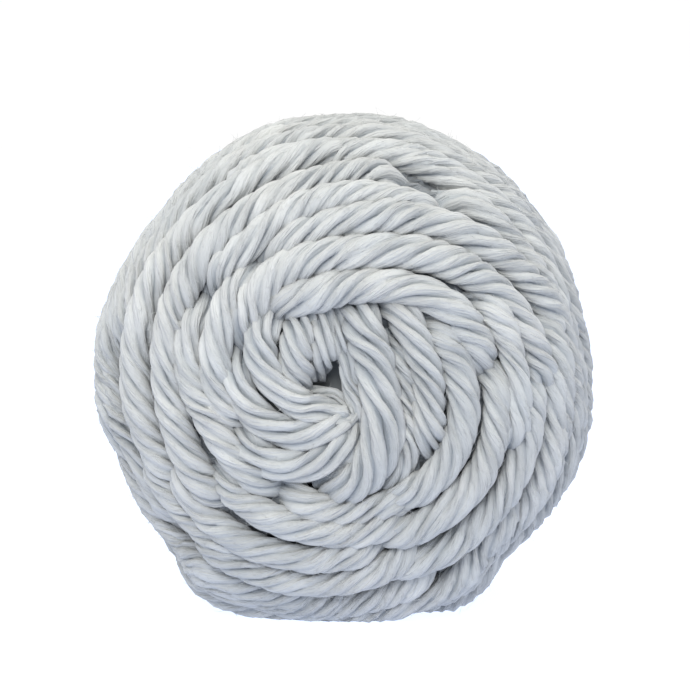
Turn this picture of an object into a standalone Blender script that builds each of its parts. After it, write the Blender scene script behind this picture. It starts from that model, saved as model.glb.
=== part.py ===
# Ball of chunky cotton yarn lying on its side, built as one closed solid: the wound form, the hollow in
# each end, and the main turns of the yarn standing up as ridges. Metres, +Z up, the floor is z = 0.
# The ball's own axis runs along Y and the end that shows the rosette faces -Y.
import bpy
import numpy as np

MM = 0.001

# Overall form, in millimetres
BALL_RADIUS = 42.5
HALF_LENGTH = 42.0
SHOULDER_POWER = 3.0
CENTRE_HEIGHT = 39.8

# Yarn, in millimetres
STRAND_WIDTH = 5.4
STRANDS_SIDE_BY_SIDE = 7
VALLEY_DEPTH = 1.7
CREST_ROUNDNESS = 0.6

# Hollow in each end, in millimetres
FRONT_HOLLOW_DEPTH = 9.0
FRONT_HOLLOW_RADIUS = 4.2
BACK_HOLLOW_DEPTH = 5.0
BACK_HOLLOW_RADIUS = 5.0
EYE_RADIUS = 1.5

# How steeply the squash of the outline dies away from the rim towards the middle of each end
SQUASH_POWER = 3.0

# The ridges fade out over this height above the floor, so that the ball rests on a flat
RIDGE_FADE_HEIGHT = 7.0
RIDGE_FADE_START = 0.6

# Mesh density
PROFILE_SAMPLES = 4000
COLUMNS_PER_STRAND = 5
TURN_STEP_DEG = 12.0
PROFILE_STEP = 3.2

FIRST_STRAND_DEG = 118.0

# Radius of the squashed outline seen from the end, degrees counter-clockwise from +X
OUTLINE = (
    # deg, radius_mm
    (0, 41.9),
    (10, 41.2),
    (22, 41.3),
    (40, 41.5),
    (60, 41.7),
    (72, 42.3),
    (90, 42.3),
    (108, 42.4),
    (120, 41.8),
    (131, 41.1),
    (140, 40.1),
    (152, 40.7),
    (162, 41.4),
    (172, 42.0),
    (180, 41.4),
    (190, 41.7),
    (200, 39.8),
    (212, 40.5),
    (222, 40.6),
    (229, 41.6),
    (236, 44.8),
    (243, 44.7),
    (252, 43.5),
    (270, 43.0),
    (288, 43.2),
    (297, 44.2),
    (303, 43.8),
    (311, 41.0),
    (321, 41.6),
    (335, 42.6),
)

# How far each of the strands lying side by side stands proud of the others
STRAND_LIFT_MM = (0.3, -0.2, 0.5, 0.0, -0.4, 0.4, -0.1)

YARN_COLOUR = (0.60, 0.64, 0.66, 1.0)
YARN_ROUGHNESS = 0.9


def remove_scene_objects():
    for obj in list(bpy.data.objects):
        bpy.data.objects.remove(obj, do_unlink=True)


def profile_curve():
    """Half outline of the ball from the middle of one end to the middle of the other.

    A superellipse, |r / radius|^n + |y / half length|^n = 1, with a bell-shaped hollow pushed into each end.
    """
    swing = np.linspace(0.0, np.pi, PROFILE_SAMPLES)
    exponent = 2.0 / SHOULDER_POWER
    cosine = np.cos(swing)
    radius = BALL_RADIUS * np.abs(np.sin(swing)) ** exponent
    axial = -HALF_LENGTH * np.sign(cosine) * np.abs(cosine) ** exponent
    front = FRONT_HOLLOW_DEPTH * np.exp(-((radius / FRONT_HOLLOW_RADIUS) ** 2))
    back = BACK_HOLLOW_DEPTH * np.exp(-((radius / BACK_HOLLOW_RADIUS) ** 2))
    axial += np.where(axial < 0.0, front, -back)
    return radius, axial


def strand_turning(radius, axial):
    """Turn angle of the strands along the profile, and the distance along it.

    Strands of one width lie side by side, so the angle they make with the ball's circle of radius r has the
    sine (strands x width) / (2 pi r); inside the radius where that reaches one they run straight to the eye.
    """
    step = np.hypot(np.diff(radius), np.diff(axial))
    middle = 0.5 * (radius[1:] + radius[:-1])
    girth = 2.0 * np.pi * middle
    band = STRANDS_SIDE_BY_SIDE * STRAND_WIDTH
    sideways = np.sqrt(np.maximum(girth ** 2 - band ** 2, 0.0)) / band
    turn = np.concatenate(([0.0], np.cumsum(sideways * step / middle)))
    distance = np.concatenate(([0.0], np.cumsum(step)))
    return turn, distance


def choose_rows(radius, turn, distance):
    """Positions of the mesh rows: even steps of turning where the strands circle, of distance elsewhere."""
    turn_share = np.diff(turn) / np.radians(TURN_STEP_DEG)
    distance_share = np.diff(distance) / PROFILE_STEP
    measure = np.concatenate(([0.0], np.cumsum(np.hypot(turn_share, distance_share))))
    inside = np.flatnonzero(radius >= EYE_RADIUS)
    first = measure[inside[0]]
    last = measure[inside[-1]]
    count = int(np.ceil(last - first)) + 1
    return np.interp(np.linspace(first, last, count), measure, np.arange(PROFILE_SAMPLES))


def smooth_step(value):
    clamped = np.clip(value, 0.0, 1.0)
    return clamped * clamped * (3.0 - 2.0 * clamped)


def ball_surface():
    """Grid of points, one row per step along the profile and one column per line along a strand.

    Each column follows a strand: its angle is its own share of the circle less the strands' turning so far.
    The ridge across a strand is a sine arch flattened at the top, lower where the strands crowd at the eye,
    and the outline table squashes the form, fully at the rim and less towards the middle of each end.
    """
    radius, axial = profile_curve()
    turn, distance = strand_turning(radius, axial)
    rows = choose_rows(radius, turn, distance)
    samples = np.arange(PROFILE_SAMPLES)
    row_radius = np.interp(rows, samples, radius)[:, None]
    row_axial = np.interp(rows, samples, axial)[:, None]
    row_turn = np.interp(rows, samples, turn)[:, None]
    slope_radius = np.interp(rows, samples, np.gradient(radius, distance))[:, None]
    slope_axial = np.interp(rows, samples, np.gradient(axial, distance))[:, None]

    columns = STRANDS_SIDE_BY_SIDE * COLUMNS_PER_STRAND
    column = np.arange(columns)[None, :]
    strand = column // COLUMNS_PER_STRAND
    across = (column % COLUMNS_PER_STRAND) / COLUMNS_PER_STRAND
    angle = np.radians(FIRST_STRAND_DEG) + 2.0 * np.pi * column / columns - row_turn

    arch = np.sin(np.pi * across) ** CREST_ROUNDNESS
    lift = np.array(STRAND_LIFT_MM)[strand] * arch
    room = 2.0 * np.pi * row_radius / (STRANDS_SIDE_BY_SIDE * STRAND_WIDTH)
    height = (VALLEY_DEPTH * (arch - 1.0) + lift) * np.minimum(room, 1.0) ** 2

    outline = np.array(OUTLINE)
    rim = np.interp(np.degrees(angle) % 360.0, outline[:, 0], outline[:, 1], period=360.0)
    squash = 1.0 + (rim / BALL_RADIUS - 1.0) * (row_radius / BALL_RADIUS) ** SQUASH_POWER
    plain_z = CENTRE_HEIGHT + row_radius * squash * np.sin(angle)
    height = height * smooth_step((plain_z - RIDGE_FADE_START) / RIDGE_FADE_HEIGHT)

    out_radius = (row_radius + slope_axial * height) * squash
    out_axial = row_axial - slope_radius * height
    x = out_radius * np.cos(angle)
    z = np.maximum(CENTRE_HEIGHT + out_radius * np.sin(angle), 0.0)
    return np.stack([x, out_axial, z], axis=-1)


def closed_mesh_data(grid):
    """Points and faces of the closed skin: quads between rows and columns, and a fan closing each eye."""
    rows, columns, _ = grid.shape
    front_eye = grid[0].mean(axis=0)
    back_eye = grid[-1].mean(axis=0)
    points = np.concatenate([grid.reshape(-1, 3), [front_eye, back_eye]])
    points[:, 0] -= 0.5 * (points[:, 0].min() + points[:, 0].max())
    points[:, 1] -= 0.5 * (points[:, 1].min() + points[:, 1].max())
    index = np.arange(rows * columns).reshape(rows, columns)
    following = np.roll(index, -1, axis=1)
    quads = np.stack([index[:-1], index[1:], following[1:], following[:-1]], axis=-1).reshape(-1, 4)
    front = rows * columns
    back = front + 1
    front_fan = np.stack([np.full(columns, front), index[0], following[0]], axis=-1)
    back_fan = np.stack([np.full(columns, back), following[-1], index[-1]], axis=-1)
    return points * MM, quads.tolist() + front_fan.tolist() + back_fan.tolist()


def yarn_material():
    material = bpy.data.materials.new("cotton_yarn")
    material.use_nodes = True
    shader = material.node_tree.nodes["Principled BSDF"]
    shader.inputs["Base Color"].default_value = YARN_COLOUR
    shader.inputs["Roughness"].default_value = YARN_ROUGHNESS
    shader.inputs["Metallic"].default_value = 0.0
    material.diffuse_color = YARN_COLOUR
    return material


def make_yarn_ball():
    points, faces = closed_mesh_data(ball_surface())
    mesh = bpy.data.meshes.new("yarn_ball")
    mesh.from_pydata(points.tolist(), [], faces)
    mesh.polygons.foreach_set("use_smooth", np.ones(len(faces), dtype=bool))
    mesh.materials.append(yarn_material())
    mesh.update()
    ball = bpy.data.objects.new("yarn_ball", mesh)
    bpy.context.scene.collection.objects.link(ball)


remove_scene_objects()
make_yarn_ball()
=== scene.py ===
"""Ball of chunky cotton yarn: the plied strands of its outer turns laid over the ball's wound form.

Every strand is a tube whose section has six round lobes, the plies, and turns as it goes along its path.
A path is given as angle round the ball's axis and radius on its end, laid out from the turns as they
lie. Positions on the ball come from one profile curve turned about Y and squashed by an outline.
Lengths are millimetres, apart from those of the floor, lamps, camera and materials, which are metres.
Angles are degrees counter-clockwise from +X seen from the front.
"""

from collections import namedtuple

import bpy
import numpy as np
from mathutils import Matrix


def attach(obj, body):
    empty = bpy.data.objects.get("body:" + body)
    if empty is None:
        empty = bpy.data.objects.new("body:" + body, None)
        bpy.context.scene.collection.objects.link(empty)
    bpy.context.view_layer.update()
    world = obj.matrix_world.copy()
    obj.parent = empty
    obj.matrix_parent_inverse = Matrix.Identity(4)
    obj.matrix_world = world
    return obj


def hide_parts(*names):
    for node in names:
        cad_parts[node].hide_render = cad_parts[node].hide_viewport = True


MM = 0.001

# Wound form
BALL_RADIUS = 42.5
HALF_LENGTH = 42.0
SHOULDER_POWER = 3.0
CENTRE_HEIGHT = 39.8
HOLLOW_DEPTH = 3.2
HOLLOW_RADIUS = 2.8
SQUASH_POWER = 3.0
PROFILE_SAMPLES = 4000
FLOOR_GAP = 0.05

# Strand; its ends dive below the neighbouring turns, each by its own share of the depth
STRAND_WIDTH = 5.7
STRAND_FLATNESS = 0.86
TWIST_PITCH = 23.0
TWIST_WANDER = 0.3
WIDTH_WANDER = 0.05
WANDER_LENGTH = 26.0
DIVE_DEPTH = 4.2
DIVE_LENGTH = 6.0
FULL_DIVE = (1.0, 1.0)
NO_DIVE = (0.0, 0.0)

# Plies of a strand, and how unevenly they lie; shares are of the strand's half width
PLIES = 6
PLY_OVERLAP = 1.05
PLY_SHIFT = 0.13
PLY_SWELL = 0.035
PLY_WANDER_LENGTH = 12.0
THREAD_RIDGE = 0.010
THREAD_LENGTH = 5.0

# Valleys between the plies: how open they are, with 1 for plies that are evenly round
RING_VALLEYS = 1.05
ROSETTE_VALLEYS = 1.7
VALLEY_CHANGE = 0.6
SHALLOWEST_VALLEY = 0.45
DEEPEST_VALLEY = 2.1
SLIT_DEPTH = 0.2
SLIT_FROM = 1.1
# Depth inside the round section over which the painted valley shade grows to full
VALLEY_SHADE_REACH = 1.1

# Slow waves: sums of sines with periods between these shares of the length asked for
WAVE_SINES = 3
WAVE_HEIGHT = 0.6
WAVE_PERIODS = (0.6, 1.7)

# Brightness of a strand, in steps of SHADE_STEP: its random tone, and for the inner layer painted shade
STRAND_SHADES = (-0.6, 0.6)
OUTER_SHADE = 0.0
INNER_PAINTED_SHADE = -7.0
SHADE_STEP = 0.06

# Radius of the squashed outline seen from the end
OUTLINE = (
    # deg, radius_mm
    (0, 41.9), (10, 41.2), (22, 41.3), (40, 41.5), (60, 41.7), (72, 42.3),
    (90, 42.3), (108, 42.4), (120, 41.8), (131, 41.1), (140, 40.1), (152, 40.7),
    (162, 41.4), (172, 42.0), (180, 41.4), (190, 41.7), (200, 39.8), (212, 40.5),
    (222, 40.6), (229, 41.6), (236, 44.8), (243, 44.7), (252, 43.5), (270, 43.0),
    (288, 43.2), (297, 44.2), (303, 43.8), (311, 41.0), (321, 41.6), (335, 42.6),
)

# Turns that run round the end: five radii evenly spaced in angle from the first angle to the last
RING_TURNS = (
    # name, from_deg, to_deg, radii_mm, width_mm, pitch_mm, lift_mm at start, middle and end
    ("b_inner", 152, 95, (16.3, 16.9, 17.2, 17.3, 17.3), 4.8, 22, (-1.0, -1.2, -1.5)),
    ("q_lower", -48, -120, (22.3, 20.6, 20.0, 19.0, 18.1), 5.2, 20, (-1.2, -0.6, -0.6)),
    ("q_right", 40, -70, (18.8, 19.9, 21.4, 21.6, 19.5), 5.5, 20, (-0.8, -0.2, -0.6)),
    ("b_left", 210, 118, (15.4, 17.6, 19.0, 21.0, 22.6), 5.5, 22, (-0.8, 0.0, -0.6)),
    ("a_top", 136, 2, (16.4, 14.9, 17.2, 22.1, 25.4), 5.9, 23, (-0.6, 0.6, -0.6)),
    ("b_top", 158, -6, (15.8, 19.4, 21.9, 29.0, 34.6), 6.1, 22, (-0.2, 0.4, -0.4)),
    ("p_left", 246, 144, (19.0, 19.0, 19.9, 23.3, 25.2), 5.2, 22, (-0.4, 0.0, -0.6)),
    ("r_lower", 304, 212, (24.0, 23.6, 22.8, 23.1, 22.9), 5.2, 20, (-0.6, 0.0, -0.4)),
    ("y_right", 12, -78, (25.6, 26.6, 27.2, 26.4, 25.4), 5.4, 20, (-0.6, 0.0, -0.4)),
    ("j_right", 36, -24, (27.2, 28.3, 28.9, 29.6, 30.4), 5.1, 21, (-0.2, 0.3, -0.6)),
    ("c_top", 122, 8, (22.6, 25.2, 28.9, 33.4, 38.0), 6.1, 24, (-0.8, 0.2, -0.2)),
    ("d_top", 145, 54, (25.4, 25.8, 28.5, 30.7, 32.2), 5.4, 22, (-0.6, 0.0, -0.8)),
    ("s_lower", 290, 203, (26.4, 27.7, 28.6, 29.2, 28.9), 5.2, 23, (-0.4, 0.0, -0.8)),
    ("t_left", 232, 70, (26.6, 25.7, 28.0, 30.6, 35.4), 5.9, 21, (-0.6, 0.2, -0.6)),
    ("w_right", 6, -78, (30.8, 31.9, 32.3, 31.9, 31.0), 5.8, 22, (-0.6, 0.0, -0.6)),
    ("w_lower", 302, 224, (29.0, 31.0, 32.3, 32.8, 33.6), 5.5, 22, (-0.6, 0.0, -0.6)),
    ("v_left", 247, 198, (32.6, 32.0, 32.0, 32.6, 33.8), 4.8, 22, (-0.8, -0.3, -0.8)),
    ("u_left", 216, 84, (30.4, 31.7, 33.0, 34.4, 37.6), 6.1, 23, (-0.4, 0.2, -0.2)),
    ("l_left", 268, 104, (35.4, 37.2, 37.2, 38.6, 41.0), 5.9, 22, (-0.4, 0.2, -0.2)),
    ("b_right", 10, -78, (34.0, 35.6, 37.0, 37.8, 39.2), 5.8, 21, (-0.6, 0.1, -0.4)),
    ("m_lower", 300, 215, (34.4, 36.0, 37.6, 38.2, 39.6), 5.7, 22, (-0.6, 0.0, -0.4)),
    ("s_top", 96, 10, (35.6, 37.9, 38.7, 39.7, 42.0), 5.7, 22, (-0.8, 0.0, -0.4)),
)

# Short turns of the rosette: points (x, z) on the end, measured from the ball's axis
ROSETTE_TURNS = (
    # name, width_mm, pitch_mm, lift_mm at start, middle and end, dive at start and end, points
    ("rose_eye_top", 4.0, 26, (-2.2, -2.0, -3.0), (0.5, 0.4),
     ((0.4, 13.0), (1.1, 9.0), (1.5, 5.8), (1.2, 3.0))),
    ("rose_eye_right", 4.0, 18, (-1.2, -0.9, -1.0), (0.6, 0.4),
     ((1.8, 7.6), (2.7, 4.2), (3.2, 1.2), (3.4, -4.4))),
    ("rose_eye_low", 3.0, 26, (-1.8, -1.3, -1.2), (0.3, 0.4),
     ((-4.0, -0.8), (-1.6, -1.2), (0.6, -1.9), (3.0, -4.6))),
    ("rose_left_1", 4.6, 20, (-1.0, -1.1, -2.0), (0.5, 0.3),
     ((-1.2, 13.0), (-1.3, 9.2), (-1.2, 5.2), (-2.2, 1.0))),
    ("rose_left_2", 5.6, 15, (-0.4, -0.2, -0.8), (0.6, 0.4),
     ((-4.4, 13.2), (-5.1, 9.0), (-5.6, 4.8), (-5.0, -0.4))),
    ("rose_right_deep", 4.4, 20, (-1.8, -2.0, -1.4), (0.5, 0.5),
     ((9.2, 9.4), (10.8, 4.0), (12.0, -1.1), (12.6, -5.8), (12.0, -10.3), (10.0, -14.1), (6.7, -16.4))),
    ("rose_low_2", 5.5, 30, (-0.6, -0.3, -0.8), (1.0, 0.6),
     ((-16.4, -5.0), (-13.4, -9.2), (-9.6, -11.8), (-5.6, -12.4), (-1.5, -11.4), (2.5, -9.1), (6.2, -6.0))),
    ("rose_low_1", 5.5, 34, (-0.6, -0.3, -0.8), (1.0, 0.5),
     ((-14.8, 6.4), (-15.2, 2.2), (-13.8, -1.9), (-10.6, -5.3), (-6.0, -7.3), (-0.5, -6.8), (5.0, -4.9))),
    ("rose_low_0", 5.4, 32, (-0.6, 0.1, -0.6), (1.1, 0.3),
     ((-8.2, 13.8), (-10.3, 10.6), (-11.2, 6.8), (-10.2, 2.6), (-7.3, -1.0), (-3.0, -3.2), (2.6, -4.2))),
    ("rose_right", 5.6, 22, (-0.6, 0.0, -0.6), (1.0, 0.8),
     ((8.0, 15.6), (11.2, 11.2), (13.6, 6.8), (15.0, 2.6), (15.4, -1.6), (15.4, -6.0), (16.4, -11.6))),
    ("rose_big", 6.8, 25, (0.0, 1.0, 0.2), (0.9, 0.8),
     ((3.4, 15.2), (5.0, 9.6), (6.6, 5.0), (7.6, 0.5), (8.2, -4.1), (7.8, -8.6), (5.9, -12.8), (2.7, -15.6),
      (-2.0, -17.2))),
)

# How finely the turns of the ends are made; past RIM_START they level off, so that they stay on the end
END_SAMPLES = 160
FRONT_SPACING = 0.85
FRONT_PLY_POINTS = 8
BACK_SPACING = 1.3
BACK_PLY_POINTS = 5
BACK_TURN_DEG = 130.0
RIM_START = 46.0
RIM_REACH = 7.0

# Turns on the side of the ball: where each begins, as distance along the profile from the front pole.
# The second one begins later, which leaves the dark gap near the top right.
SIDE_STARTS = (43.0, 44.1, 43.0, 43.0, 43.0, 43.0, 43.0)
SIDE_START = min(SIDE_STARTS)
SIDE_STRANDS = len(SIDE_STARTS)
SIDE_FIRST_DEG = 20.0
SIDE_SAMPLES = 900
SIDE_SPACING = 1.6
SIDE_PLY_POINTS = 5
# Two sines of the angle, each as its size and its waves per radian: along the ball, and in and out
SIDE_WOBBLE = ((0.55, 1.7), (0.35, 0.83))
SIDE_LIFT = ((0.35, 2.1), (0.25, 1.1))
SIDE_LIFTS = (-0.3, 0.3)
SMALLEST_CIRCLE = 1.0

# Turns below the outer layer
INNER_DEPTH = 6.4
INNER_START = 4.0
INNER_SAMPLES = 1200
INNER_SPACING = 3.0
INNER_PLY_POINTS = 3

# Closed body below the inner turns, coloured in painted shade
HEART_DEPTH = 8.0
HEART_HOLLOW_DEPTH = 2.0
HEART_HOLLOW_RADIUS = 6.0
HEART_START = 1.0
HEART_ROWS = 72
HEART_COLUMNS = 72

# Loose fibre ends: of the roots tried, the ones that face away from the ball's middle are kept
HAIRS_TRIED = 19000
HAIR_FACING = 0.35
HAIR_STEPS = 4
HAIR_SIDES = 3
HAIR_LENGTH = (1.0, 3.2)
HAIR_CUT = (0.3, 1.0)
HAIR_RADIUS = 0.028
HAIR_TAPER = 0.6
HAIR_FORWARD = (0.3, 1.0)
HAIR_OUTWARD = (0.15, 0.9)
HAIR_SWAY = 0.5
HAIR_SWAY_SHARE = 0.4
HAIR_BEND = 0.48
HAIR_BEND_INWARD = 0.35

# Cotton: its two tones, and the tint of painted shade in its valleys, sunk ends, inner layer and heart
COTTON_COOL = (0.350, 0.371, 0.379, 1.0)
COTTON_WARM = (0.492, 0.493, 0.473, 1.0)
PAINTED_SHADE_TINT = (0.67, 0.715, 0.78, 1.0)
PAINTED_SHADE_CURVE = 2.0
TONE_SCALE = 90.0
FIBRE_SLANT_DEG = -14.0
FIBRE_SCALE = (350.0, 2200.0, 1.0)
FIBRE_RELIEF = 0.0007
FIBRE_STRENGTH = 0.9

# Surroundings
FLOOR_HALF_WIDTH = 3.0
FLOOR_COLOUR = (0.15, 0.15, 0.15, 1.0)
FLOOR_GLOW = (0.71, 0.79, 1.0, 1.0)
FLOOR_GLOW_STRENGTH = 1.3
WORLD_COLOUR = (1.0, 1.0, 1.0, 1.0)
WORLD_STRENGTH = 1.01
LAMP_AIM = (0.0, 0.0, 0.045)
SOFTBOXES = (
    # name, place, size, power_w, colour
    ("overhead_softbox", (-0.02, -0.2, 0.9), 0.6, 4.35, (1.0, 0.995, 0.955)),
    ("front_softbox", (-0.06, -0.85, 0.46), 0.4, 4.9, (1.0, 0.99, 0.96)),
)

CAMERA_AZIMUTH_DEG = 3.2
CAMERA_ELEVATION_DEG = 4.9
CAMERA_DISTANCE = 0.55
CAMERA_AIM = (0.0, 0.0, 0.0432)
CAMERA_NEAR = 0.01
CAMERA_LENS_MM = 169.5
CAMERA_SENSOR_MM = 36.0

WINDING_SEED = 7

Tube = namedtuple("Tube", "vertices quads fans uv valley light rows columns")


def profile_curve():
    """Outline of the ball from the middle of the front end to the middle of the back end.

    A superellipse, |r / radius|^n + |y / half length|^n = 1, with a bell-shaped hollow in each end; also
    the distance along it and its outward normal, which is the tangent turned by a right angle.
    """
    swing = np.linspace(0.0, np.pi, PROFILE_SAMPLES)
    exponent = 2.0 / SHOULDER_POWER
    cosine = np.cos(swing)
    radius = BALL_RADIUS * np.abs(np.sin(swing)) ** exponent
    axial = -HALF_LENGTH * np.sign(cosine) * np.abs(cosine) ** exponent
    hollow = HOLLOW_DEPTH * np.exp(-((radius / HOLLOW_RADIUS) ** 2))
    axial += np.where(axial < 0.0, hollow, -hollow)
    step = np.hypot(np.diff(radius), np.diff(axial))
    distance = np.concatenate(([0.0], np.cumsum(step)))
    tangent_r = np.gradient(radius, distance)
    tangent_y = np.gradient(axial, distance)
    return distance, radius, axial, tangent_y, -tangent_r


DISTANCE, RADIUS, AXIAL, NORMAL_R, NORMAL_Y = profile_curve()
LENGTH = DISTANCE[-1]
OUTLINE_DEG, OUTLINE_RADIUS = np.array(OUTLINE).T


def squash(angle, radius):
    """Outline radius at the angle over the round radius, fully at the rim and less towards the axis."""
    rim = np.interp(np.degrees(angle) % 360.0, OUTLINE_DEG, OUTLINE_RADIUS, period=360.0)
    return 1.0 + (rim / BALL_RADIUS - 1.0) * (radius / BALL_RADIUS) ** SQUASH_POWER


def place_of_centre(angle, radius, depth):
    """Distance along the front half of the profile where a strand's centre, this deep, has this radius.

    Past RIM_START the distance levels off: the excess becomes reach x (1 - exp(-excess / reach)).
    """
    half = PROFILE_SAMPLES // 2
    centre_radius = RADIUS[:half] - NORMAL_R[:half] * depth
    place = np.interp(radius / squash(angle, radius), centre_radius, DISTANCE[:half])
    excess = np.maximum(place - RIM_START, 0.0)
    return np.minimum(place, RIM_START) + RIM_REACH * (1.0 - np.exp(-excess / RIM_REACH))


def on_ball(angle, distance, depth):
    """Points below the ball's surface, and the surface normals there, for arrays of one shape.

    The point is the profile's, moved in by the depth along its normal, turned about Y by the angle and
    scaled by the outline at that angle, fully at the rim and less towards the middle of each end.
    """
    normal_r = np.interp(distance, DISTANCE, NORMAL_R)
    normal_y = np.interp(distance, DISTANCE, NORMAL_Y)
    base = np.interp(distance, DISTANCE, RADIUS)
    out = (base - normal_r * depth) * squash(angle, base)
    along = np.interp(distance, DISTANCE, AXIAL) - normal_y * depth
    point = np.stack([out * np.cos(angle), along, CENTRE_HEIGHT + out * np.sin(angle)], axis=-1)
    normal = np.stack([normal_r * np.cos(angle), normal_y, normal_r * np.sin(angle)], axis=-1)
    return point, normal


def smooth_step(value):
    """Rises from 0 to 1 as 3 s^2 - 2 s^3, with s the value held between 0 and 1."""
    held = np.clip(value, 0.0, 1.0)
    return held * held * (3.0 - 2.0 * held)


def unit(vectors):
    """Each row divided by its length."""
    return vectors / np.linalg.norm(vectors, axis=1)[:, None]


def through_keys(keys, count):
    """Catmull-Rom curve through the key rows: the cubic blend of the four keys round each sample."""
    keys = np.asarray(keys, dtype=float)
    padded = np.concatenate([[2.0 * keys[0] - keys[1]], keys, [2.0 * keys[-1] - keys[-2]]])
    place = np.linspace(0.0, len(keys) - 1.0, count)
    first = np.minimum(place.astype(int), len(keys) - 2)
    t = (place - first)[:, None]
    a, b, c, d = padded[first], padded[first + 1], padded[first + 2], padded[first + 3]
    return 0.5 * (2.0 * b + (c - a) * t + (2.0 * a - 5.0 * b + 4.0 * c - d) * t ** 2
                  + (3.0 * b - a - 3.0 * c + d) * t ** 3)


def lift_along(lift, count):
    """Parabola through the lift at the start, middle and end."""
    t = np.linspace(0.0, 1.0, count)
    start, middle, end = lift
    return start * (1.0 - t) * (1.0 - 2.0 * t) + 4.0 * middle * t * (1.0 - t) + end * t * (2.0 * t - 1.0)


def laid_path(angle, distance, lift, thickness, spacing, dive):
    """Centre line of a strand lying on the ball: points, outward directions, length so far and sink.

    It is resampled evenly. The strand's outer side is level with the surface plus the lift. Towards each
    end it sinks by a smooth step, DIVE_DEPTH times the end's share, below the neighbouring turns.
    """
    raw, _ = on_ball(angle, distance, thickness - lift)
    raw_run = np.concatenate(([0.0], np.cumsum(np.linalg.norm(np.diff(raw, axis=0), axis=1))))
    total = raw_run[-1]
    run = np.linspace(0.0, total, int(total / spacing) + 2)
    angle = np.interp(run, raw_run, angle)
    distance = np.interp(run, raw_run, distance)
    lift = np.interp(run, raw_run, lift)
    sink = dive[0] * (1.0 - smooth_step(run / DIVE_LENGTH))
    sink = sink + dive[1] * (1.0 - smooth_step((total - run) / DIVE_LENGTH))
    point, normal = on_ball(angle, distance, thickness - lift + DIVE_DEPTH * sink)
    return point, normal, run, sink


def slow_waves(run, many, length, random):
    """Smooth uneven curves along the run, one a column, mostly between -1 and 1: sums of a few sines."""
    phase = random.uniform(0.0, 2.0 * np.pi, (WAVE_SINES, 1, many))
    period = length * random.uniform(*WAVE_PERIODS, (WAVE_SINES, 1, many))
    return WAVE_HEIGHT * np.sin(2.0 * np.pi * run[None, :, None] / period + phase).sum(axis=0)


def ply_section(run, ply_points, valleys, random):
    """Sections of a strand along the run: radius and angle of each point, and how light its ply is.

    Lobe radius at angle d from a ply's middle: c cos d + sqrt(s^2 - c^2 sin^2 d), with s the ply's radius
    and c = 1 - s the distance of its centre; plies of s = sin(pi / PLIES) / (1 + sin(pi / PLIES)) just
    touch, and the overlap presses them together. Slow waves shift the valleys between the plies sideways,
    make them deeper or shallower, swell single plies and raise threads. Where a valley is more open than
    SLIT_FROM its lowest line drops further, as a narrow slit.
    """
    column = np.arange(PLIES * ply_points)
    ply = column // ply_points
    share = (column % ply_points) / ply_points
    touching = np.sin(np.pi / PLIES) / (1.0 + np.sin(np.pi / PLIES))
    size = PLY_OVERLAP * touching
    within = (share - 0.5) * 2.0 * np.pi / PLIES
    lobe = (1.0 - size) * np.cos(within) + np.sqrt(size ** 2 - ((1.0 - size) * np.sin(within)) ** 2)

    shift = PLY_SHIFT * slow_waves(run, PLIES, PLY_WANDER_LENGTH, random)
    edge = shift + 2.0 * np.pi * np.arange(PLIES) / PLIES
    following_edge = np.concatenate([edge[:, 1:], edge[:, :1] + 2.0 * np.pi], axis=1)
    angle = edge[:, ply] + share * (following_edge - edge)[:, ply]
    openness = valleys + VALLEY_CHANGE * slow_waves(run, PLIES, PLY_WANDER_LENGTH, random)[:, ply]
    light = slow_waves(run, PLIES, PLY_WANDER_LENGTH, random)[:, ply]
    threads = THREAD_RIDGE * slow_waves(run, len(column), THREAD_LENGTH, random)
    depth = (1.0 - lobe) * np.clip(openness, SHALLOWEST_VALLEY, DEEPEST_VALLEY)
    slit = SLIT_DEPTH * np.clip(openness - SLIT_FROM, 0.0, 1.0) * (share == 0.0)
    radius = (1.0 - depth) * (1.0 + PLY_SWELL * light) + threads - slit
    return radius, angle, light


def strand_axes(point, normal, run):
    """Sideways direction, tangent x normal, and outward direction, sideways x tangent, along a path."""
    tangent = unit(np.gradient(point, run, axis=0))
    side = unit(np.cross(tangent, normal))
    return side, np.cross(side, tangent)


def tube_faces(rows, columns):
    """Quads between neighbouring rings of a tube, and a fan of triangles that closes each end.

    The rings' points come first, row by row, and then the middle points of the first and the last ring.
    """
    index = np.arange(rows * columns).reshape(rows, columns)
    following = np.roll(index, -1, axis=1)
    quads = np.stack([index[:-1], following[:-1], following[1:], index[1:]], axis=-1).reshape(-1, 4)
    middle = rows * columns
    start_fan = np.stack([np.full(columns, middle), following[0], index[0]], axis=-1)
    end_fan = np.stack([np.full(columns, middle + 1), index[-1], following[-1]], axis=-1)
    return quads, np.concatenate([start_fan, end_fan])


def tube_uv(run, width, columns):
    """UV corners of a tube's quads: u is the length so far and v the length round the strand."""
    girth = np.pi * width
    shape = (len(run) - 1, columns)
    u = np.broadcast_to(run[:-1, None], shape)
    u_next = np.broadcast_to(run[1:, None], shape)
    v = np.broadcast_to(girth * np.arange(columns) / columns, shape)
    v_next = v + girth / columns
    return np.stack([u, v, u, v_next, u_next, v_next, u_next, v], axis=-1).reshape(-1, 2)


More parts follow.
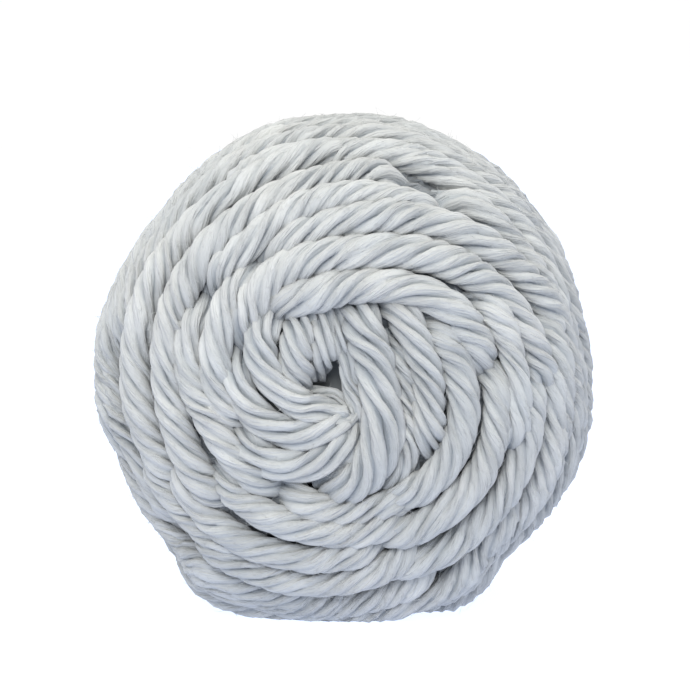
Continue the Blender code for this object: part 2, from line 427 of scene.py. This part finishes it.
def strand_tube(path, width, pitch, ply_points, random, valleys=RING_VALLEYS):
    """Tube along a path whose section turns by 2 pi per pitch, so that its lines follow the plies.

    The section lies in the plane of the sideways and outward directions, flattened outwards. A point's
    painted valley shade is how far it lies inside the round section, over the valley reach, plus its
    strand's sink
    there, held between 0 and 1: shade painted into the colour of the valleys between plies and of sunk
    ends.
    """
    point, normal, run, sink = path
    side, out = strand_axes(point, normal, run)
    section, round_angle, light = ply_section(run, ply_points, valleys, random)
    phase = random.uniform(0.0, 2.0 * np.pi)
    turn = round_angle + (phase + 2.0 * np.pi * run / pitch)[:, None]
    turn = turn + TWIST_WANDER * slow_waves(run, 1, WANDER_LENGTH, random)
    half = 0.5 * width * (1.0 + WIDTH_WANDER * slow_waves(run, 1, WANDER_LENGTH, random))
    across = (section * np.cos(turn) * half)[:, :, None]
    upward = (section * np.sin(turn) * half * STRAND_FLATNESS)[:, :, None]
    ring = point[:, None, :] + across * side[:, None, :] + upward * out[:, None, :]
    vertices = np.concatenate([ring.reshape(-1, 3), point[:1], point[-1:]])
    # Painted shade: the colour darkens in the valleys between the plies and where the strand sinks
    valley = np.clip((1.0 - section) * half / VALLEY_SHADE_REACH + sink[:, None], 0.0, 1.0)
    valley = np.concatenate([valley.reshape(-1), np.ones(2)])
    light = np.concatenate([light.reshape(-1), np.zeros(2)])
    rows, columns = section.shape
    quads, fans = tube_faces(rows, columns)
    return Tube(vertices, quads, fans, tube_uv(run, width, columns), valley, light, rows, columns)


def make_mesh_object(name, vertices, quads, fans, point_values, material, uv=None):
    """Mesh of quads and triangles, kept clear of the floor, smooth, with point attributes and a UV map.

    Its points are turned to metres. The UV corners given are the quads', and all others are zero.
    """
    vertices = np.array(vertices)
    vertices[:, 2] = np.maximum(vertices[:, 2], FLOOR_GAP)
    sizes = np.concatenate([np.full(len(quads), 4), np.full(len(fans), 3)])
    starts = np.concatenate(([0], np.cumsum(sizes)[:-1]))
    corners = np.concatenate([quads.reshape(-1), fans.reshape(-1)])
    corner_uv = np.zeros((len(corners), 2))
    if uv is not None:
        corner_uv[:len(uv)] = uv
    mesh = bpy.data.meshes.new(name)
    mesh.vertices.add(len(vertices))
    mesh.loops.add(len(corners))
    mesh.polygons.add(len(sizes))
    mesh.vertices.foreach_set("co", (vertices * MM).astype(np.float32).reshape(-1))
    mesh.loops.foreach_set("vertex_index", corners.astype(np.int32))
    mesh.polygons.foreach_set("loop_start", starts.astype(np.int32))
    mesh.polygons.foreach_set("use_smooth", np.ones(len(sizes), dtype=bool))
    layer = mesh.uv_layers.new(name="along_ply")
    layer.data.foreach_set("uv", (corner_uv * MM).astype(np.float32).reshape(-1))
    for key, values in point_values.items():
        attribute = mesh.attributes.new(key, "FLOAT", "POINT")
        attribute.data.foreach_set("value", np.asarray(values, dtype=np.float32))
    mesh.materials.append(material)
    mesh.update()
    mesh.validate()
    piece = bpy.data.objects.new(name, mesh)
    bpy.context.scene.collection.objects.link(piece)
    return piece


def make_strands(name, tubes, material, random, base_shade):
    """One piece of several tubes; a point's tone and shade adds the base's painted shade, its strand's and
    its ply's random tone.
    """
    many = [len(tube.vertices) for tube in tubes]
    offsets = np.cumsum([0] + many)[:-1]
    strand_shade = base_shade + random.uniform(*STRAND_SHADES, len(tubes))
    vertices = np.concatenate([tube.vertices for tube in tubes])
    quads = np.concatenate([tube.quads + offset for tube, offset in zip(tubes, offsets)])
    fans = np.concatenate([tube.fans + offset for tube, offset in zip(tubes, offsets)])
    uv = np.concatenate([tube.uv for tube in tubes])
    valley = np.concatenate([tube.valley for tube in tubes])
    tone_and_shade = np.repeat(strand_shade, many) + np.concatenate([tube.light for tube in tubes])
    values = {"valley": valley, "tone_and_shade": tone_and_shade}
    return make_mesh_object(name, vertices, quads, fans, values, material, uv)


def end_turns():
    """The turns of an end: angle and radius along each, its width, pitch, lift, dive and valleys.

    The radius of a ring turn follows a curve through its five radii. A turn of the rosette follows a curve
    through its points, taken as angle and radius.
    """
    turns = []
    for _, from_deg, to_deg, radii, width, pitch, lift in RING_TURNS:
        angle = np.radians(np.linspace(from_deg, to_deg, END_SAMPLES))
        radius = through_keys(np.array(radii)[:, None], END_SAMPLES)[:, 0]
        turns.append((angle, radius, width, pitch, lift, FULL_DIVE, RING_VALLEYS))
    for _, width, pitch, lift, dive, points in ROSETTE_TURNS:
        flat = through_keys(points, END_SAMPLES)
        angle = np.unwrap(np.arctan2(flat[:, 1], flat[:, 0]))
        radius = np.hypot(flat[:, 0], flat[:, 1])
        turns.append((angle, radius, width, pitch, lift, dive, ROSETTE_VALLEYS))
    return turns


def end_tubes(random, on_back, spacing, ply_points):
    """Strands of one end. The back end is the front's pattern turned half round Z and then about Y."""
    tubes = []
    for angle, radius, width, pitch, lift, dive, valleys in end_turns():
        thickness = 0.5 * width * STRAND_FLATNESS
        lift = lift_along(lift, END_SAMPLES)
        distance = place_of_centre(angle, radius, thickness - lift.mean())
        if on_back:
            angle = np.pi + np.radians(BACK_TURN_DEG) - angle
            distance = LENGTH - distance
        path = laid_path(angle, distance, lift, thickness, spacing, dive)
        tubes.append(strand_tube(path, width, pitch, ply_points, random, valleys))
    return tubes


def spiral_angle(distance):
    """Angle turned by the side strands, which lie side by side, from the first distance to each.

    On a circle of radius r they make the angle whose sine is strands x width / (2 pi r) with the circle.
    """
    circle = np.maximum(np.interp(distance, DISTANCE, RADIUS), SMALLEST_CIRCLE)
    girth = 2.0 * np.pi * circle
    band = SIDE_STRANDS * STRAND_WIDTH
    rate = np.sqrt(np.maximum(girth ** 2 - band ** 2, 0.0)) / band / circle
    return np.concatenate(([0.0], np.cumsum(0.5 * (rate[1:] + rate[:-1]) * np.diff(distance))))


def two_sines(angle, sines, phases):
    """Sum of two sines of the angle, each with its size, its waves per radian and its phase."""
    (size, waves), (other_size, other_waves) = sines
    return size * np.sin(waves * angle + phases[0]) + other_size * np.sin(other_waves * angle + phases[1])


def side_tubes(random):
    """Strands that spiral over the shoulders and along the side, side by side, a little uneven."""
    tubes = []
    thickness = 0.5 * STRAND_WIDTH * STRAND_FLATNESS
    distance = np.linspace(SIDE_START, LENGTH - SIDE_START, SIDE_SAMPLES)
    for number, start in enumerate(SIDE_STARTS):
        angle = np.radians(SIDE_FIRST_DEG) + 2.0 * np.pi * number / SIDE_STRANDS
        angle = angle - spiral_angle(distance)
        phase = random.uniform(0.0, 2.0 * np.pi, 3)
        wobble = two_sines(angle, SIDE_WOBBLE, (phase[0], phase[1]))
        lift = two_sines(angle, SIDE_LIFT, (phase[2], phase[0])) + random.uniform(*SIDE_LIFTS)
        shown = distance >= start
        uneven = (distance + wobble)[shown]
        path = laid_path(angle[shown], uneven, lift[shown], thickness, SIDE_SPACING, FULL_DIVE)
        tubes.append(strand_tube(path, STRAND_WIDTH, TWIST_PITCH, SIDE_PLY_POINTS, random))
    return tubes


def inner_tubes(random):
    """Coarser strands of the layer below, which fill what shows between the outer ones.

    They count as sunk all along, which paints them in the full valley shade: painted shade for the gaps.
    """
    tubes = []
    distance = np.linspace(INNER_START, LENGTH - INNER_START, INNER_SAMPLES)
    lift = np.zeros(INNER_SAMPLES)
    for number in range(SIDE_STRANDS):
        angle = 2.0 * np.pi * number / SIDE_STRANDS - spiral_angle(distance)
        point, normal, run, _ = laid_path(angle, distance, lift, INNER_DEPTH, INNER_SPACING, NO_DIVE)
        # Sunk all along: painted valley shade over the whole inner layer
        path = (point, normal, run, np.ones(len(run)))
        tubes.append(strand_tube(path, STRAND_WIDTH, TWIST_PITCH, INNER_PLY_POINTS, random))
    return tubes


def hair_roots(tubes, random):
    """Where the hairs leave the strands: root, direction out of the strand and direction along it.

    Each tube gets tries by its number of points, at random places on its skin. The roots whose outward
    direction has a cosine above HAIR_FACING with the direction from the ball's middle are kept.
    """
    points = np.array([len(tube.vertices) for tube in tubes])
    strand = random.choice(len(tubes), HAIRS_TRIED, p=points / points.sum())
    roots, outward, forward = [], [], []
    for number, tube in enumerate(tubes):
        ring = tube.vertices[:-2].reshape(tube.rows, tube.columns, 3)
        middle = ring.mean(axis=1)
        many = int((strand == number).sum())
        row = random.integers(1, tube.rows - 1, many)
        column = random.integers(0, tube.columns, many)
        roots.append(ring[row, column])
        outward.append(unit(ring[row, column] - middle[row]))
        forward.append(unit(middle[row + 1] - middle[row - 1]))
    root = np.concatenate(roots)
    outward = np.concatenate(outward)
    forward = np.concatenate(forward)
    from_middle = unit(root - np.array([0.0, 0.0, CENTRE_HEIGHT]))
    facing = np.einsum("ij,ij->i", outward, from_middle) > HAIR_FACING
    return root[facing], outward[facing], forward[facing]


def hair_points(root, outward, forward, random):
    """Points of the hairs, one row a hair: rings of HAIR_SIDES points from the root on, then the tip.

    A hair's line is root + length (t along + t^2 bend). Its rings stand round the line at a radius that
    shrinks towards the tip, where they meet in one point.
    """
    hairs = len(root)
    sway = random.normal(0.0, HAIR_SWAY, (hairs, 3))
    heading = forward * random.choice([-1.0, 1.0], (hairs, 1))
    along = heading * random.uniform(*HAIR_FORWARD, (hairs, 1))
    along = unit(along + outward * random.uniform(*HAIR_OUTWARD, (hairs, 1)) + HAIR_SWAY_SHARE * sway)
    bend = random.normal(0.0, HAIR_BEND, (hairs, 3)) - HAIR_BEND_INWARD * outward
    length = random.uniform(*HAIR_LENGTH, (hairs, 1, 1)) * random.uniform(*HAIR_CUT, (hairs, 1, 1))
    t = np.linspace(0.0, 1.0, HAIR_STEPS + 1)[None, :, None]
    line = root[:, None, :] + length * (t * along[:, None, :] + t ** 2 * bend[:, None, :])
    side = unit(np.cross(along, sway))
    other = np.cross(along, side)
    around = (2.0 * np.pi * np.arange(HAIR_SIDES) / HAIR_SIDES)[None, :, None]
    spoke = np.cos(around) * side[:, None, :] + np.sin(around) * other[:, None, :]
    radius = HAIR_RADIUS * (1.0 - HAIR_TAPER * t[:, :-1, :, None])
    rings = line[:, :-1, None, :] + radius * spoke[:, None, :, :]
    return np.concatenate([rings.reshape(hairs, -1, 3), line[:, -1:, :]], axis=1)


def hair_faces(hairs):
    """Faces of the hairs: quads between the rings of each, a fan to its tip and a triangle at its foot."""
    points = HAIR_STEPS * HAIR_SIDES + 1
    corner = np.arange(HAIR_SIDES)
    following = (corner + 1) % HAIR_SIDES
    ring = np.arange(HAIR_STEPS - 1)[:, None] * HAIR_SIDES
    last = (HAIR_STEPS - 1) * HAIR_SIDES
    quads = np.stack([ring + corner, ring + following, ring + following + HAIR_SIDES,
                      ring + corner + HAIR_SIDES], axis=-1).reshape(-1, 4)
    tip = np.stack([last + corner, last + following, np.full(HAIR_SIDES, points - 1)], axis=-1)
    foot = corner[None, ::-1]
    start = (np.arange(hairs) * points)[:, None, None]
    fans = np.concatenate([tip, foot])
    return (quads[None] + start).reshape(-1, 4), (fans[None] + start).reshape(-1, 3)


def make_fuzz(tubes, material, random):
    """Loose fibre ends: thin three-sided hairs that leave the plies, bend over and taper."""
    points = hair_points(*hair_roots(tubes, random), random)
    quads, fans = hair_faces(len(points))
    vertices = points.reshape(-1, 3)
    values = {"valley": np.zeros(len(vertices)), "tone_and_shade": np.ones(len(vertices))}
    return make_mesh_object("ball_fuzz", vertices, quads, fans, values, material)


def make_heart(material):
    """Closed body below the inner turns: the ball's surface moved in, most at the ends, by a bell curve.

    Its rows follow the profile and its columns the angle, so its faces are a tube's wound the other way.
    Its colour is the full painted shade all over.
    """
    distance = np.linspace(HEART_START, LENGTH - HEART_START, HEART_ROWS)[:, None]
    angle = np.linspace(0.0, 2.0 * np.pi, HEART_COLUMNS, endpoint=False)[None, :]
    from_pole = np.minimum(distance, LENGTH - distance)
    depth = HEART_DEPTH + HEART_HOLLOW_DEPTH * np.exp(-((from_pole / HEART_HOLLOW_RADIUS) ** 2))
    point, _ = on_ball(*np.broadcast_arrays(angle, distance, depth))
    vertices = np.concatenate([point.reshape(-1, 3), [point[0].mean(axis=0), point[-1].mean(axis=0)]])
    quads, fans = tube_faces(HEART_ROWS, HEART_COLUMNS)
    quads = np.roll(quads[:, ::-1], 1, axis=1)
    fans = np.roll(fans[:, ::-1], 1, axis=1)
    # Painted shade: the heart takes the full valley shade all over
    values = {"valley": np.ones(len(vertices)), "tone_and_shade": np.zeros(len(vertices))}
    return make_mesh_object("ball_heart", vertices, quads, fans, values, material)


def yarn_material():
    """Matt pale cotton: two tones in soft patches, painted shade in the valleys, fibres along the plies as
    bump, a sheen.

    The colour runs from the tone to tone x tint of painted shade by the painted valley shade to the power
    of its curve, and its brightness is multiplied by 1 + SHADE_STEP x the tone and shade value.
    """
    material = bpy.data.materials.new("cotton_yarn")
    material.use_nodes = True
    nodes = material.node_tree.nodes
    links = material.node_tree.links
    shader = nodes["Principled BSDF"]

    valley = nodes.new("ShaderNodeAttribute")
    valley.attribute_name = "valley"
    tone_and_shade = nodes.new("ShaderNodeAttribute")
    tone_and_shade.attribute_name = "tone_and_shade"

    place = nodes.new("ShaderNodeTexCoord")
    patches = nodes.new("ShaderNodeTexNoise")
    patches.inputs["Scale"].default_value = TONE_SCALE
    patches.inputs["Detail"].default_value = 2.0
    links.new(place.outputs["Object"], patches.inputs["Vector"])

    tone = nodes.new("ShaderNodeMix")
    tone.data_type = "RGBA"
    tone.inputs["A"].default_value = COTTON_COOL
    tone.inputs["B"].default_value = COTTON_WARM
    links.new(patches.outputs["Fac"], tone.inputs["Factor"])

    # Painted shade: darker, bluer colour in the valleys, sunk ends, inner layer and heart
    deep = nodes.new("ShaderNodeMix")
    deep.data_type = "RGBA"
    deep.blend_type = "MULTIPLY"
    deep.inputs["B"].default_value = PAINTED_SHADE_TINT
    links.new(tone.outputs["Result"], deep.inputs["A"])
    curve = nodes.new("ShaderNodeMath")
    curve.operation = "POWER"
    curve.inputs[1].default_value = PAINTED_SHADE_CURVE
    links.new(valley.outputs["Fac"], curve.inputs[0])
    links.new(curve.outputs["Value"], deep.inputs["Factor"])

    # Brightness: random tone of strands and plies, plus painted shade that darkens the inner layer
    bright = nodes.new("ShaderNodeHueSaturation")
    level = nodes.new("ShaderNodeMath")
    level.operation = "MULTIPLY_ADD"
    level.inputs[1].default_value = SHADE_STEP
    level.inputs[2].default_value = 1.0
    links.new(tone_and_shade.outputs["Fac"], level.inputs[0])
    links.new(level.outputs["Value"], bright.inputs["Value"])
    links.new(deep.outputs["Result"], bright.inputs["Color"])
    links.new(bright.outputs["Color"], shader.inputs["Base Color"])

    uv = nodes.new("ShaderNodeUVMap")
    uv.uv_map = "along_ply"
    stretch = nodes.new("ShaderNodeMapping")
    stretch.inputs["Rotation"].default_value = (0.0, 0.0, np.radians(FIBRE_SLANT_DEG))
    stretch.inputs["Scale"].default_value = FIBRE_SCALE
    links.new(uv.outputs["UV"], stretch.inputs["Vector"])
    fibres = nodes.new("ShaderNodeTexNoise")
    fibres.inputs["Scale"].default_value = 1.0
    fibres.inputs["Detail"].default_value = 3.0
    links.new(stretch.outputs["Vector"], fibres.inputs["Vector"])
    bump = nodes.new("ShaderNodeBump")
    bump.inputs["Strength"].default_value = FIBRE_STRENGTH
    bump.inputs["Distance"].default_value = FIBRE_RELIEF
    links.new(fibres.outputs["Fac"], bump.inputs["Height"])
    links.new(bump.outputs["Normal"], shader.inputs["Normal"])

    shader.inputs["Roughness"].default_value = 0.9
    shader.inputs["Specular IOR Level"].default_value = 0.2
    shader.inputs["Sheen Weight"].default_value = 0.25
    shader.inputs["Sheen Roughness"].default_value = 0.5
    return material


def floor_material():
    """Matt grey that glows a little blue, so that it shows white and still takes a faint shadow."""
    material = bpy.data.materials.new("pale_floor")
    material.use_nodes = True
    shader = material.node_tree.nodes["Principled BSDF"]
    shader.inputs["Base Color"].default_value = FLOOR_COLOUR
    shader.inputs["Roughness"].default_value = 0.9
    shader.inputs["Specular IOR Level"].default_value = 0.0
    shader.inputs["Emission Color"].default_value = FLOOR_GLOW
    shader.inputs["Emission Strength"].default_value = FLOOR_GLOW_STRENGTH
    return material


def make_floor():
    """One square face at z = 0, centred below the ball."""
    half = FLOOR_HALF_WIDTH
    mesh = bpy.data.meshes.new("floor")
    corners = [(-half, -half, 0.0), (half, -half, 0.0), (half, half, 0.0), (-half, half, 0.0)]
    mesh.from_pydata(corners, [], [(0, 1, 2, 3)])
    mesh.materials.append(floor_material())
    floor = bpy.data.objects.new("floor", mesh)
    bpy.context.scene.collection.objects.link(floor)
    return floor


def point_at(lamp_or_camera, direction):
    """Turns a lamp or camera so that its -Z looks along the direction, with +Y up."""
    flat = np.hypot(direction[0], direction[1])
    lamp_or_camera.rotation_euler = (
        np.pi / 2.0 + np.arctan2(direction[2], flat),
        0.0,
        np.arctan2(-direction[0], direction[1]),
    )


def make_softbox(name, place, size, power, colour):
    """Square area lamp at the place, turned towards LAMP_AIM."""
    light = bpy.data.lights.new(name, "AREA")
    light.shape = "SQUARE"
    light.size = size
    light.energy = power
    light.color = colour
    lamp = bpy.data.objects.new(name, light)
    lamp.location = place
    point_at(lamp, np.array(LAMP_AIM) - np.array(place))
    bpy.context.scene.collection.objects.link(lamp)


def make_surroundings():
    """Even white world and the softboxes."""
    world = bpy.data.worlds.new("studio")
    bpy.context.scene.world = world
    world.use_nodes = True
    background = world.node_tree.nodes["Background"]
    background.inputs["Color"].default_value = WORLD_COLOUR
    background.inputs["Strength"].default_value = WORLD_STRENGTH
    for softbox in SOFTBOXES:
        make_softbox(*softbox)


def make_camera():
    """Camera that looks at CAMERA_AIM from the azimuth and elevation, both nought straight in front."""
    camera_data = bpy.data.cameras.new("camera")
    camera_data.lens = CAMERA_LENS_MM
    camera_data.sensor_width = CAMERA_SENSOR_MM
    camera_data.clip_start = CAMERA_NEAR
    camera = bpy.data.objects.new("camera", camera_data)
    azimuth = np.radians(CAMERA_AZIMUTH_DEG)
    elevation = np.radians(CAMERA_ELEVATION_DEG)
    away = np.array([
        np.sin(azimuth) * np.cos(elevation),
        -np.cos(azimuth) * np.cos(elevation),
        np.sin(elevation),
    ])
    camera.location = np.array(CAMERA_AIM) + away * CAMERA_DISTANCE
    point_at(camera, -away)
    bpy.context.scene.collection.objects.link(camera)
    bpy.context.scene.camera = camera


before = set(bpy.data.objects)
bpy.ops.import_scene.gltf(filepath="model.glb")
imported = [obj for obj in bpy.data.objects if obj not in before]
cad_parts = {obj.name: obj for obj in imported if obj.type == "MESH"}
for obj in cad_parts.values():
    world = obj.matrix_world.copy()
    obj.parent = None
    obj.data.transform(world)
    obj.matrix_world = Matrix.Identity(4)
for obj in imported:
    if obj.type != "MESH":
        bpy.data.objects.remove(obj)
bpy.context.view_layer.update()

rng = np.random.default_rng(WINDING_SEED)
yarn = yarn_material()
front = end_tubes(rng, False, FRONT_SPACING, FRONT_PLY_POINTS)
back = end_tubes(rng, True, BACK_SPACING, BACK_PLY_POINTS)
side = side_tubes(rng)
pieces = [
    make_strands("ball_front_turns", front, yarn, rng, OUTER_SHADE),
    make_strands("ball_back_turns", back, yarn, rng, OUTER_SHADE),
    make_strands("ball_side_turns", side, yarn, rng, OUTER_SHADE),
    # The inner layer is darkened in its colour: painted shade, as it shows only in the gaps
    make_strands("ball_inner_turns", inner_tubes(rng), yarn, rng, INNER_PAINTED_SHADE),
    make_fuzz(front + back + side, yarn, rng),
    make_heart(yarn),
]
for piece in pieces:
    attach(piece, "root")
    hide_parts("yarn_ball")

make_floor()
make_surroundings()
make_camera()
bpy.context.scene.view_settings.view_transform = "Standard"
